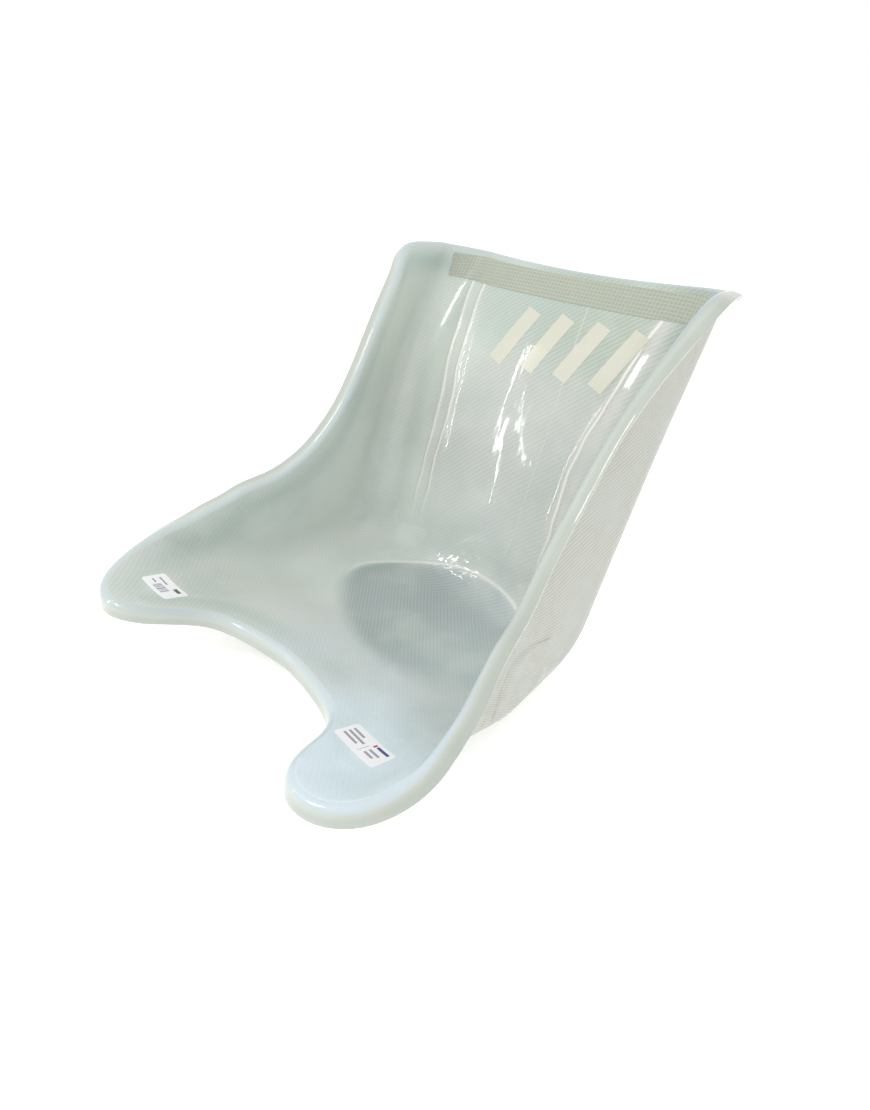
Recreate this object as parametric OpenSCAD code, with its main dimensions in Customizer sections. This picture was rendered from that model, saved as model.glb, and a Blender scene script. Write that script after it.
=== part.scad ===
// Bucket seat for a racing kart: a hand-laminated glass-fibre shell with a rolled edge.
// The occupant faces -Y, +X is to the right of someone looking at the seat from the front,
// and the origin is at the middle of the flat underside.
//
// Every ply is cut on one developed sheet with coordinates [a, b]: a runs sideways from the
// middle line and b runs along the middle line, up the backrest. bent() bends that sheet
// into the bucket, and a ply is a patch of it between two depths below the inner face.

/* [Side profile] */
// Angle of the front ramp below level, degrees
ramp_angle = 23; // [12:1:30]
// Distance from the middle of the flat to where the front ramp begins
ramp_start = 30; // [25:1:60]
// Length over which the flat turns into the front ramp
ramp_blend = 75; // [60:5:120]
// Angle of the backrest above level, degrees
back_angle = 72; // [60:1:80]
// Distance from the middle of the flat to where the backrest bend begins
bend_start = 28; // [25:1:60]
// Length over which the flat turns into the backrest
bend_blend = 86; // [60:1:120]
// The same length high on the side walls, where the bend is slower
wall_blend = 180; // [120:5:200]
// Height on the side walls above which only the slower bend counts
wall_height = 130; // [100:5:200]
// Lean that the backrest gains towards its top, degrees
top_lean = -20; // [-25:1:0]
// Y of the point that the side walls rise towards
gather_y = -245; // [-300:5:-200]
// Z of the point that the side walls rise towards
gather_z = 332; // [300:2:400]

/* [Seat pan] */
// Half width of the oval seat pan
pan_half_w = 117; // [100:1:170]
// Half length of the oval seat pan
pan_half_l = 89; // [60:2:110]
// Distance of the oval's middle behind the middle of the flat
pan_back = -5; // [-30:5:40]

/* [Laminate] */
// Thickness of the inner skin
inner_t = 1.2; // [0.8:0.1:2]
// Thickness of the core plies
core_t = 1.6; // [1:0.1:3]
// Thickness of the outer skin
outer_t = 1.4; // [0.8:0.1:2]
// Thickness of the patches outside the hips
patch_t = 1.4; // [0.6:0.1:3]
// Height of the four low swellings that the underside rests on
rest_t = 0.5; // [0.3:0.1:1]
// Thickness of the woven tape along the top edge
tape_t = 0.5; // [0.3:0.1:1]
// Thickness of the emblem film and of the labels
film_t = 0.3; // [0.2:0.1:0.5]

/* [Rolled edge] */
// Outer radius of the roll
roll_r = 7; // [6:0.5:12]
// Angle through which the edge rolls over, degrees
roll_angle = 100; // [80:5:150]
// Straight part of the lip below the roll
lip_l = 9; // [4:0.5:14]
// Thickness of the roving that fills the lip
roving_t = 3; // [2:0.2:4.5]

/* [Labels and emblem] */
// Size of the right label across the seat
label_right_w = 50; // [40:2:60]
// Size of the left label across the seat
label_left_w = 40; // [30:2:50]
// Size of both labels along the leg lobe
label_l = 27; // [20:1:40]
// Distance of the right label's middle from the middle line
label_right_a = 132; // [120:2:150]
// Distance of the right label's middle in front of the middle of the flat
label_right_b = 218; // [200:2:240]
// Distance of the left label's middle from the middle line
label_left_a = 148; // [130:2:170]
// Distance of the left label's middle in front of the middle of the flat
label_left_b = 236; // [210:2:250]
// Number of bars in the emblem
bars = 4; // [2:1:6]
// Width of a bar
bar_w = 20; // [10:1:30]
// Length of a bar
bar_l = 70; // [40:2:90]
// Distance from one bar to the next
bar_pitch = 44; // [34:1:50]
// Slant of the bars, degrees
bar_slant = -20; // [-30:5:30]
// Height of the emblem's middle up the middle line
bar_b = 366; // [300:2:390]

/* [Hidden] */

// Cross-sections every 100 mm along the middle line, from the lobes to the top edge:
// half width of the flat part, width of the bend beside it, angle of the side wall.
SECTION_FIRST = -400;
SECTION_STEP = 100;
SECTIONS = [
    [149, 112, 31],
    [142, 92, 56],
    [130, 80, 78],
    [129, 80, 91],
    [129, 80, 94],
    [129, 72, 97],
    [140, 57, 104],
    [144, 50, 107],
    [135, 61, 98],
    [108, 80, 76],
    [99, 85, 68]
];

// Right half of the trimmed edge as spline control points [a, b], from the notch between
// the legs, around the leg lobe and the hip, to the middle of the top edge.
EDGE = [
    [0, -183], [24, -187], [103, -203], [113, -268], [136, -295], [175, -283], [201, -232],
    [226, -156], [293, -62], [321, 24], [325, 99], [278, 197], [259, 301], [253, 377],
    [249, 432], [262, 470], [215, 462], [165, 457], [110, 452], [55, 449], [0, 448]
];

// Places along EDGE where one core ply ends and the next begins
THIGH_END = 7.4;
HIP_END = 11;
WING_END = 18;

// Hip patch: its ends along EDGE, then its middle and half height as shares of the wall
PATCH_ENDS = [7.3, 9.7];
PATCH_MIDDLE = 0.58;
PATCH_HALF = 0.2;

// Tape: where it starts along EDGE, and its lower edge as a share of the wall
TAPE_START = 16.8;
TAPE_LOW = 0.91;

// Rays join the pan's oval to the edge: [place along EDGE, angle round the oval]
RAY_TURN = [[0, 0], [3, 42], [9, 92], [18, 137], [20, 180]];
// How strongly a ray is curved to meet the edge squarely: [place along EDGE, share]
RAY_CURVE = [[0, 1], [5, 1], [8, 0.3], [11, 0]];
// How far in from the edge a fully curved ray bends
RAY_SQUARE = 40;

// Distance of the emblem's middle to the right of the middle line
EMBLEM_A = 24;
LABEL_TURN = -5;

LEAN_START = 200;
LEAN_BLEND = 250;

// Half width and half length of the ring that the four resting swellings stand on
REST_HALF = [117, 50];
FLAT_RISE = 0.27;

WALL_T = inner_t + core_t + outer_t;
EDGE_LAST = len(EDGE) - 1;
PROFILE_STEP = 4;
PROFILE_FIRST = -420;
PROFILE_COUNT = 280;
ROWS_PAN = 6;
ROWS_WALL = 11;
COLUMN_STEP = 0.5;

// ---- curves ----

function ease(t) = let(u = min(max(t, 0), 1)) u * u * (3 - 2 * u);
function mirror_a(p) = [-p[0], p[1]];
function unit(v) = v / norm(v);
function mix(p, q, t) = p * (1 - t) + q * t;

// Values from first to last in about equal steps no longer than step
function spread(first, last, step) =
    let(n = ceil((last - first) / step - 0.01)) [for (i = [0:n]) first + (last - first) * i / n];

// Uniform cubic B-spline through four neighbouring control values
function spline(p0, p1, p2, p3, u) =
    ((1 - u)^3 * p0 + (3 * u^3 - 6 * u^2 + 4) * p1 + (3 * (u + u^2 - u^3) + 1) * p2 + u^3 * p3) / 6;

function clamped(list, i) =
    i < 0 ? 2 * list[0] - list[1]
    : i >= len(list) ? 2 * list[len(list) - 1] - list[len(list) - 2]
    : list[i];

function section_at(b) =
    let(t = min(max((b - SECTION_FIRST) / SECTION_STEP, 0), len(SECTIONS) - 1.001), i = floor(t))
    spline(clamped(SECTIONS, i - 1), clamped(SECTIONS, i), clamped(SECTIONS, i + 1),
        clamped(SECTIONS, i + 2), t - i);

function edge_point(i) =
    i < 0 ? mirror_a(EDGE[-i])
    : i > EDGE_LAST ? mirror_a(EDGE[2 * EDGE_LAST - i])
    : EDGE[i];

// Trimmed edge at s: 0 at the notch, EDGE_LAST at the middle of the top, negative on the left
function edge_at(s) =
    s < 0 ? mirror_a(edge_at(-s))
    : let(i = floor(s)) spline(edge_point(i - 1), edge_point(i), edge_point(i + 1), edge_point(i + 2), s - i);

// ---- middle line, developed from its slope ----

function slope(b, start, blend) =
    -ramp_angle * (1 - ease((b + ramp_start + ramp_blend) / ramp_blend))
    + back_angle * ease((b - start) / blend)
    + top_lean * ease((b - LEAN_START) / LEAN_BLEND);

function profile(start, blend) = [
    for (
        i = 0, y = 0, z = 0, turn = slope(PROFILE_FIRST + 0.5 * PROFILE_STEP, start, blend);
        i <= PROFILE_COUNT;
        y = y + PROFILE_STEP * cos(turn),
        z = z + PROFILE_STEP * sin(turn),
        i = i + 1,
        turn = slope(PROFILE_FIRST + (i + 0.5) * PROFILE_STEP, start, blend)
    )
    [y, z]
];
function profile_at(table, b) =
    let(k = (b - PROFILE_FIRST) / PROFILE_STEP, i = floor(k)) mix(table[i], table[i + 1], k - i);

PROFILE = profile(bend_start, bend_blend);
PROFILE_ZERO = profile_at(PROFILE, 0) - [0, WALL_T + rest_t];
function middle_line(b) = profile_at(PROFILE, b) - PROFILE_ZERO;

// The same line with a slower bend, which the high side walls follow
PROFILE_WALL = profile(bend_start + (bend_blend - wall_blend) / 2, wall_blend);
function wall_line(b) = profile_at(PROFILE_WALL, b) - PROFILE_ZERO;

// ---- bent surface ----

// Point of the inner face above the developed point [a, b]
function bent(p) =
    let(
        sec = section_at(p[1]),
        flat = sec[0], bend = sec[1], wall = sec[2],
        a = abs(p[0]),
        turned = wall * min(max((a - flat) / bend, 0), 1),
        r = bend / (wall * PI / 180),
        beyond = max(a - flat - bend, 0),
        x = min(a, flat) + r * sin(turned) + beyond * cos(wall),
        h = r * (1 - cos(turned)) + beyond * sin(wall),
        c = mix(middle_line(p[1]), wall_line(p[1]), ease(h / wall_height)),
        rise = unit([gather_y, gather_z] - c)
    )
    [sign(p[0]) * x, c[0] + h * rise[0], c[1] + h * rise[1]];

// Unit normal of the inner face, towards the occupant
function inward(p) =
    let(e = 1.5)
    unit(cross(bent(p + [e, 0]) - bent(p - [e, 0]), bent(p + [0, e]) - bent(p - [0, e])));

// Point at a depth below the inner face
function at_depth(p, depth) = bent(p) - inward(p) * depth;

// Extra thickness of the outer skin at its four resting places, on the ring's diagonals, and on a flat in the middle
function rest_pad(p) =
    let(u = [p[0] / REST_HALF[0], p[1] / REST_HALF[1]], r = norm(u), turn = atan2(u[1], u[0]))
    max(
        rest_t * max(0, 1 - (1 - cos(4 * turn - 180)) / 2 * min(r, 1) - 1.5 * abs(r - 1)),
        max(0, rest_t - FLAT_RISE) * min(max((0.65 - r) / 0.2, 0), 1)
    );

// ---- layout of the plies on the developed sheet ----

function pan_edge(s) =
    s < 0 ? mirror_a(pan_edge(-s))
    : s > EDGE_LAST ? mirror_a(pan_edge(2 * EDGE_LAST - s))
    : let(angle = lookup(s, RAY_TURN)) [pan_half_w * sin(angle), pan_back - pan_half_l * cos(angle)];

function edge_inward(s) =
    let(e = 0.05, d = unit(edge_at(s + e) - edge_at(s - e))) [-d[1], d[0]];

// Developed point on ray s: t is -1 at the middle of the pan, 0 on its oval and 1 at the edge
function layout(s, t) =
    t < 0 ? mix([0, pan_back], pan_edge(s), 1 + t)
    : let(
        far = edge_at(s), near = pan_edge(s), share = lookup(min(abs(s), 2 * EDGE_LAST - abs(s)), RAY_CURVE),
        guide = mix(mix(near, far, 0.5), far + RAY_SQUARE * edge_inward(s), share)
    )
    mix(mix(near, guide, t), mix(guide, far, t), t);

PAN_ROWS = spread(-0.98, 0, 1 / ROWS_PAN);
WALL_ROWS = spread(0, 1, 1 / ROWS_WALL);
ALL_ROWS = concat(PAN_ROWS, [for (i = [1:ROWS_WALL]) WALL_ROWS[i]]);

// Rays all the way round, with one on every joint between core plies
JOINTS = [-WING_END, -HIP_END, -THIGH_END, 0, THIGH_END, HIP_END, WING_END, 2 * EDGE_LAST - WING_END];
RAYS = [for (k = [0:len(JOINTS) - 2]) each head(spread(JOINTS[k], JOINTS[k + 1], COLUMN_STEP))];
function head(list) = [for (i = [0:len(list) - 2]) list[i]];

// ---- rolled edge ----

// Frame of the edge at ray s: point, outward direction within the surface, inward normal
function edge_frame(s) =
    let(
        e = 0.02,
        p = edge_at(s),
        n = inward(p),
        along = unit(bent(edge_at(s + e)) - bent(edge_at(s - e)))
    )
    [bent(p), unit(cross(along, n)), n];

// Point of the lip: turned round the roll's centre, at a radius, then run out along the lip
function lip_point(f, angle, radius, out) =
    f[0] - f[2] * roll_r + radius * (f[2] * cos(angle) + f[1] * sin(angle))
    + out * (f[1] * cos(angle) - f[2] * sin(angle));

// One section of the lip between two radii, from the start of the roll to the trimmed end
LIP_ANGLES = spread(0, roll_angle, 25);
function lip_outer(f, radius) =
    concat([for (w = LIP_ANGLES) lip_point(f, w, radius, 0)], [lip_point(f, roll_angle, radius, lip_l)]);
function lip_inner(f, radius) = let(r = lip_outer(f, radius), n = len(r)) [for (i = [1:n]) r[n - i]];

// ---- solids ----

// Faces between neighbouring points i and i + 1 of ring j and ring k, each ring with n points
function ring_faces(n, j, k) = [
    for (i = [0:n - 1])
        let(i2 = (i + 1) % n)
        each [[j * n + i, k * n + i, k * n + i2], [j * n + i, k * n + i2, j * n + i2]]
];

// Closed solid through rings of equal length, capped at both ends
module ring_solid(rings) {
    n = len(rings[0]);
    m = len(rings);
    faces = concat(
        [for (j = [0:m - 2]) each ring_faces(n, j + 1, j)],
        [[for (i = [0:n - 1]) n - 1 - i]],
        [[for (i = [0:n - 1]) (m - 1) * n + i]]
    );
    polyhedron([for (ring = rings) each ring], faces);
}

// Endless solid swept through closed sections that stand in a circle
module loop_solid(sections) {
    n = len(sections[0]);
    m = len(sections);
    polyhedron([for (sec = sections) each sec], [for (j = [0:m - 1]) each ring_faces(n, j, (j + 1) % m)]);
}

// Patch of the shell: a grid of developed points, m columns of n, between two depths
module patch(grid, top, bottom) {
    m = len(grid);
    n = len(grid[0]);
    border = concat(
        [for (i = [0:m - 2]) i * n], [for (j = [0:n - 2]) (m - 1) * n + j],
        [for (i = [0:m - 2]) (m - 1 - i) * n + n - 1], [for (j = [0:n - 2]) n - 1 - j]
    );
    k = m * n;
    edge_n = len(border);
    faces = concat(
        [
            for (i = [0:m - 2]) for (j = [0:n - 2])
                let(p = i * n + j, q = p + n)
                each [[p, q + 1, p + 1], [p, q, q + 1], [k + p, k + p + 1, k + q + 1], [k + p, k + q + 1, k + q]]
        ],
        [
            for (i = [0:edge_n - 1])
                let(p = border[i], q = border[(i + 1) % edge_n])
                each [[p, k + q, q], [p, k + p, k + q]]
        ]
    );
    points = [for (column = grid) each column];
    polyhedron(concat([for (p = points) at_depth(p, top)], [for (p = points) at_depth(p, bottom)]), faces);
}

// Core ply on the rays from s_first to s_last
module core_ply(s_first, s_last) {
    columns = spread(s_first, s_last, COLUMN_STEP);
    patch([for (s = columns) [for (t = WALL_ROWS) layout(s, t)]], inner_t, inner_t + core_t);
}

// Developed rectangle about a middle point, turned, as a grid
function rectangle(middle, w, l, turn, nw, nl) = [
    for (j = [0:nl]) [
        for (i = [0:nw])
            let(u = (i / nw - 0.5) * w, v = (j / nl - 0.5) * l)
            middle + [u * cos(turn) - v * sin(turn), u * sin(turn) + v * cos(turn)]
    ]
];

// ---- sub-parts ----

module inner_skin() {
    frames = [for (s = RAYS) edge_frame(s)];
    outer = [for (f = frames) lip_outer(f, roll_r)];
    inner = [for (f = frames) lip_inner(f, roll_r - inner_t)];
    lip = len(outer[0]);
    color([0.86, 0.90, 0.86])
    ring_solid(concat(
        [for (t = ALL_ROWS) if (t < 1) [for (s = RAYS) at_depth(layout(s, t), 0)]],
        [for (j = [0:lip - 1]) [for (ray = outer) ray[j]]],
        [for (j = [0:lip - 1]) [for (ray = inner) ray[j]]],
        [for (i = [1:len(ALL_ROWS) - 1]) let(t = ALL_ROWS[len(ALL_ROWS) - 1 - i])
            [for (s = RAYS) at_depth(layout(s, t), inner_t)]]
    ));
}

module outer_skin() {
    top = inner_t + core_t;
    color([0.80, 0.84, 0.78])
    ring_solid(concat(
        [for (t = ALL_ROWS) [for (s = RAYS) at_depth(layout(s, t), top)]],
        [for (i = [0:len(ALL_ROWS) - 1]) let(t = ALL_ROWS[len(ALL_ROWS) - 1 - i])
            [for (s = RAYS) let(p = layout(s, t)) at_depth(p, WALL_T + rest_pad(p))]]
    ));
}

module edge_roving() {
    outer_r = roll_r - inner_t;
    color([0.90, 0.89, 0.80])
    loop_solid([
        for (s = RAYS)
            let(f = edge_frame(s))
            concat(lip_outer(f, outer_r), lip_inner(f, outer_r - roving_t))
    ]);
}

module seat_pan_ply() {
    color([0.62, 0.70, 0.67])
    ring_solid(concat(
        [for (t = PAN_ROWS) [for (s = RAYS) at_depth(layout(s, t), inner_t)]],
        [for (i = [0:len(PAN_ROWS) - 1]) let(t = PAN_ROWS[len(PAN_ROWS) - 1 - i])
            [for (s = RAYS) at_depth(layout(s, t), inner_t + core_t)]]
    ));
}

module thigh_ply_left() {
    color([0.74, 0.83, 0.85])
    core_ply(-THIGH_END, 0);
}

module thigh_ply_right() {
    color([0.74, 0.83, 0.85])
    core_ply(0, THIGH_END);
}

module hip_ply_left() {
    color([0.78, 0.82, 0.76])
    core_ply(-HIP_END, -THIGH_END);
}

module hip_ply_right() {
    color([0.78, 0.82, 0.76])
    core_ply(THIGH_END, HIP_END);
}

module back_wing_ply_left() {
    color([0.72, 0.78, 0.74])
    core_ply(-WING_END, -HIP_END);
}

module back_wing_ply_right() {
    color([0.72, 0.78, 0.74])
    core_ply(HIP_END, WING_END);
}

module back_centre_ply() {
    color([0.78, 0.80, 0.76])
    core_ply(WING_END, 2 * EDGE_LAST - WING_END);
}

// Lens-shaped patch laid on the outside of a hip; side is 1 on the right and -1 on the left
module hip_patch(side) {
    n = 10;
    color([0.84, 0.87, 0.82])
    patch([
        for (i = [0:n])
            let(
                s = PATCH_ENDS[0] + (PATCH_ENDS[1] - PATCH_ENDS[0]) * i / n,
                half = PATCH_HALF * sin(180 * (i + 0.6) / (n + 1.2))
            )
            [for (j = [-3:3]) layout(s, PATCH_MIDDLE + half * j / 3)]
    ], WALL_T, WALL_T + patch_t);
}

module hip_patch_right() {
    hip_patch(1);
}

module hip_patch_left() {
    mirror([1, 0, 0])
    hip_patch(1);
}

module top_edge_tape() {
    columns = spread(TAPE_START, 2 * EDGE_LAST - TAPE_START, COLUMN_STEP / 2);
    color([0.76, 0.80, 0.76])
    patch([for (s = columns) [for (t = spread(TAPE_LOW, 0.99, 0.04)) layout(s, t)]], -tape_t, 0);
}

// Four slanted bars cut from a translucent film
module emblem_film() {
    color([0.93, 0.92, 0.84])
    for (i = [0:bars - 1])
        patch(
            rectangle([(i - (bars - 1) / 2) * bar_pitch + EMBLEM_A, bar_b], bar_w, bar_l, bar_slant, 2, 6),
            -film_t, 0
        );
}

module label_right() {
    color([0.96, 0.96, 0.96])
    patch(rectangle([label_right_a, -label_right_b], label_right_w, label_l, LABEL_TURN, 6, 4), -film_t, 0);
}

module label_left() {
    color([0.96, 0.96, 0.96])
    patch(rectangle([-label_left_a, -label_left_b], label_left_w, label_l, -LABEL_TURN, 6, 4), -film_t, 0);
}

inner_skin();
outer_skin();
edge_roving();
seat_pan_ply();
thigh_ply_left();
thigh_ply_right();
hip_ply_left();
hip_ply_right();
back_wing_ply_left();
back_wing_ply_right();
back_centre_ply();
hip_patch_left();
hip_patch_right();
top_edge_tape();
emblem_film();
label_left();
label_right();
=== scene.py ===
import math

import bpy
import numpy as np
from mathutils import Matrix, Vector


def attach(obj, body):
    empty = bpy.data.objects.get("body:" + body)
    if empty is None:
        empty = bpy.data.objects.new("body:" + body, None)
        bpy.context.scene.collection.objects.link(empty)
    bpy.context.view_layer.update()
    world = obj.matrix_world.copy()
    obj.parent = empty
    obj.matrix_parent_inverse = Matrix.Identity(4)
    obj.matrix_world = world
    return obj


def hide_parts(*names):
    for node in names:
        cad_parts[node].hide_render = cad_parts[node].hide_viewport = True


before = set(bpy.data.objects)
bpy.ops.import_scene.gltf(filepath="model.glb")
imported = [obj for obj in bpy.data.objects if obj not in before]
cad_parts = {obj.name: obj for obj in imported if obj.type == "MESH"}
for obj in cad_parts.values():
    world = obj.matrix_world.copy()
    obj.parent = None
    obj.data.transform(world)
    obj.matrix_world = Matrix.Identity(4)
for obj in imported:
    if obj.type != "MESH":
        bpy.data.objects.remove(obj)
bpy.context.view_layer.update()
print("frame loaded:", len(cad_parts), "nodes")

# Every ply is laid out on one flat sheet, [a, b] in millimetres: a runs sideways from the
# middle line, b up the middle line. These are the seat's own measures on that sheet.
shape = {
    "rampAngle": 23, "rampStart": 30, "rampBlend": 75,  # front of the seat, sloping down
    "backAngle": 72, "bendStart": 28, "bendBlend": 86,  # backrest
    "wallBlend": 180, "wallHeight": 130,  # slower bend high on the walls
    "topLean": -20, "leanStart": 200, "leanBlend": 250,
    "gather": (-245, 332),  # [y, z] of the point that the walls rise towards
    "panHalfWidth": 117, "panHalfLength": 89, "panBack": -5,
    "rollRadius": 7, "rollAngle": 100, "lipLength": 9, "roving": 3,
    "innerSkin": 1.2, "core": 1.6, "outerSkin": 1.4,
    # the underside rests on four low swellings, with a low flat between them
    "restHalf": (117, 50), "restHeight": 0.5, "flatRise": 0.27, "flatReach": 0.65, "flatFade": 0.2,
    "sectionFirst": -400, "sectionStep": 100,
    # half width of the flat, width of the bend and angle of the side wall, front to top
    "sections": [
        (149, 112, 31), (142, 92, 56), (130, 80, 78), (129, 80, 91), (129, 80, 94), (129, 72, 97),
        (140, 57, 104), (144, 50, 107), (135, 61, 98), (108, 80, 76), (99, 85, 68)
    ],
    # right half of the trimmed edge: notch, leg lobe, hip, wing, corner, middle of the top
    "edge": [
        (0, -183), (24, -187), (103, -203), (113, -268), (136, -295), (175, -283), (201, -232),
        (226, -156), (293, -62), (321, 24), (325, 99), (278, 197), (259, 301), (253, 377),
        (249, 432), (262, 470), (215, 462), (165, 457), (110, 452), (55, 449), (0, 448)
    ],
    # [ray, angle round the pan's oval at which it starts]
    "rayTurn": [(0, 0), (3, 42), (9, 92), (18, 137), (20, 180)],
    # [ray, share of a curve that meets the edge squarely], and that curve's reach
    "rayCurve": [(0, 1), (5, 1), (8, 0.3), (11, 0)],
    "raySquare": 40
}
wallT = shape["innerSkin"] + shape["core"] + shape["outerSkin"]
# rays fan out from the pan to the edge: number 0 at the notch, half at the middle of the
# top, and full back at the notch
half = len(shape["edge"]) - 1
full = 2 * half
mm = 0.001


def smooth(t):
    # 3t^2 - 2t^3 between 0 and 1
    t = np.clip(t, 0, 1)
    return t * t * (3 - 2 * t)


def bump(x, middle, width):
    # bell: e to the power of minus the squared distance from the middle in widths
    return np.exp(-((x - middle) / width) ** 2)


def splineAt(points, x):
    # uniform cubic B-spline: a weighted mean of four neighbouring points
    i = np.clip(np.floor(x).astype(int), 0, len(points) - 4)
    u = (x - i)[..., None]
    weights = ((1 - u) ** 3, 3 * u ** 3 - 6 * u ** 2 + 4, 3 * (u + u ** 2 - u ** 3) + 1, u ** 3)
    return sum(w * points[i + k] for k, w in enumerate(weights)) / 6


def extended(points):
    # one more point past each end, in line with the last two
    p = np.array(points, float)
    return np.vstack([2 * p[0] - p[1], p, 2 * p[-1] - p[-2]])


sections = extended(shape["sections"])
edgeRow = np.array(shape["edge"], float)
edgeRow = np.vstack([edgeRow[1] * (-1, 1), edgeRow, edgeRow[-2] * (-1, 1)])
rayTurn = np.array(shape["rayTurn"], float)
rayCurve = np.array(shape["rayCurve"], float)


def foldedRay(s):
    # the ray of the right half that mirrors ray s, and the side that s is on
    s = np.mod(s, full)
    return np.where(s > half, full - s, s), np.where(s > half, -1.0, 1.0)


def sided(points, side):
    return points * np.stack([side, np.ones_like(side)], -1)


def edgeAt(s):
    # trimmed edge at ray s: the right half's spline, mirrored for the left half
    ray, side = foldedRay(s)
    return sided(splineAt(edgeRow, ray), side)


def panEdge(s):
    # oval of the seat pan: an ellipse read off at the angle that belongs to ray s
    ray, side = foldedRay(s)
    angle = np.radians(np.interp(ray, rayTurn[:, 0], rayTurn[:, 1]))
    across = shape["panHalfWidth"] * np.sin(angle)
    along = shape["panBack"] - shape["panHalfLength"] * np.cos(angle)
    return sided(np.stack([across, along], -1), side)


def unit(v):
    return v / np.linalg.norm(v, axis=-1, keepdims=True)


def layout(s, t):
    # sheet point on ray s: the pan's middle at t -1, its oval at 0, and from there a
    # quadratic curve to the edge at 1 that meets the edge squarely near the leg lobes
    s, t = np.broadcast_arrays(np.asarray(s, float), np.asarray(t, float))
    near, far = panEdge(s), edgeAt(s)
    along = unit(edgeAt(s + 0.05) - edgeAt(s - 0.05))
    square = np.stack([-along[..., 1], along[..., 0]], -1)
    share = np.interp(foldedRay(s)[0], rayCurve[:, 0], rayCurve[:, 1])[..., None]
    guide = (near + far) / 2 * (1 - share) + (far + shape["raySquare"] * square) * share
    w = np.clip(t, 0, 1)[..., None]
    outer = (1 - w) ** 2 * near + 2 * w * (1 - w) * guide + w * w * far
    inner = near * (1 + t[..., None]) - t[..., None] * (0, shape["panBack"])
    return np.where(t[..., None] < 0, inner, outer)


# middle line: its slope is summed along the sheet in millimetre steps
profileB = np.arange(-440, 700)
slopeB = profileB[:-1] + 0.5


def profile(start, blend):
    # side view of the sheet's middle: the ramp in front, the bend and the lean at the top
    behindRamp = smooth((slopeB + shape["rampStart"] + shape["rampBlend"]) / shape["rampBlend"])
    slope = np.radians(
        -shape["rampAngle"] * (1 - behindRamp)
        + shape["backAngle"] * smooth((slopeB - start) / blend)
        + shape["topLean"] * smooth((slopeB - shape["leanStart"]) / shape["leanBlend"])
    )
    return np.concatenate([[[0, 0]], np.cumsum(np.stack([np.cos(slope), np.sin(slope)], -1), 0)])


middleLine = profile(shape["bendStart"], shape["bendBlend"])
zeroY, zeroZ = (np.interp(0, profileB, middleLine[:, k]) for k in (0, 1))
zero = [zeroY, zeroZ - wallT - shape["restHeight"]]
wallStart = shape["bendStart"] + (shape["bendBlend"] - shape["wallBlend"]) / 2
wallLine = profile(wallStart, shape["wallBlend"]) - zero
middleLine = middleLine - zero


def bent(p):
    # inner face over sheet point p: flat in the middle of a cross-section, then a circular
    # bend, then straight, with its height measured towards the gathering point
    a, b = np.abs(p[..., 0]), p[..., 1]
    place = np.clip((b - shape["sectionFirst"]) / shape["sectionStep"], 0, len(shape["sections"]) - 1.001)
    flat, bend, wall = np.moveaxis(splineAt(sections, place), -1, 0)
    wall = np.radians(wall)
    radius = bend / wall
    turned = wall * np.clip((a - flat) / bend, 0, 1)
    beyond = np.maximum(a - flat - bend, 0)
    x = np.minimum(a, flat) + radius * np.sin(turned) + beyond * np.cos(wall)
    h = radius * (1 - np.cos(turned)) + beyond * np.sin(wall)
    high = smooth(h / shape["wallHeight"])  # high walls follow the slower bend
    y, z = [
        np.interp(b, profileB, middleLine[:, k]) * (1 - high) + np.interp(b, profileB, wallLine[:, k]) * high
        for k in (0, 1)
    ]
    rise = unit(np.stack([shape["gather"][0] - y, shape["gather"][1] - z], -1))
    return np.stack([np.sign(p[..., 0]) * x, y + h * rise[..., 0], z + h * rise[..., 1]], -1)


def inward(p):
    # unit normal of the inner face, towards the occupant, from two short differences
    ea, eb = np.array([1.5, 0]), np.array([0, 1.5])
    return unit(np.cross(bent(p + ea) - bent(p - ea), bent(p + eb) - bent(p - eb)))


relief = {
    # raised line on each side of the back: its distance from the middle at foot and top, the
    # rows between which it moves outwards, and a lower line outside the left one
    "ridgeFoot": 88, "ridgeTop": 112, "ridgeStart": 210, "ridgeBlend": 230,
    "ridgeHeight": 1.0, "ridgeWidth": 5, "secondStep": 19, "secondWidth": 4, "secondShare": 0.5,
    "panDip": 0.55, "frontSoftness": 0.24, "rearSharper": 0.16,
    "waves": 0.25,
    # [first row, fade, last row, fade]
    "ridgeRows": (120, 70, 440, 40), "waveRows": (40, 80, 430, 60)
}


def ridgeAt(b):
    # distance of the raised line from the middle, at row b
    share = smooth((b - relief["ridgeStart"]) / relief["ridgeBlend"])
    return relief["ridgeFoot"] + (relief["ridgeTop"] - relief["ridgeFoot"]) * share


def between(b, first, firstFade, last, lastFade):
    # 1 between two rows of the sheet, eased to 0 at either end
    return smooth((b - first) / firstFade) * smooth((last - b) / lastFade)


def reliefAt(p):
    # small relief moulded into the inner face: the raised lines of the back, the pan's sunken
    # oval, and a slow unevenness of the mould: a product of two sines, plus one more sine
    a, b = p[..., 0], p[..., 1]
    ridge = ridgeAt(b)
    line = bump(np.abs(a), ridge, relief["ridgeWidth"])
    line = line + relief["secondShare"] * bump(a, -ridge - relief["secondStep"], relief["secondWidth"])
    ring = np.hypot(a / shape["panHalfWidth"], (b - shape["panBack"]) / shape["panHalfLength"])
    softness = relief["frontSoftness"] - relief["rearSharper"] * smooth((b + 10) / 60)
    dip = smooth((1 - ring) / softness + 0.5)
    waves = np.sin(a / 41 + 1.3) * np.sin(b / 57 - 0.4) + 0.6 * np.sin(a / 23 - b / 61)
    return (
        relief["ridgeHeight"] * line * between(b, *relief["ridgeRows"])
        - relief["panDip"] * dip + relief["waves"] * waves * between(b, *relief["waveRows"])
    )


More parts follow.
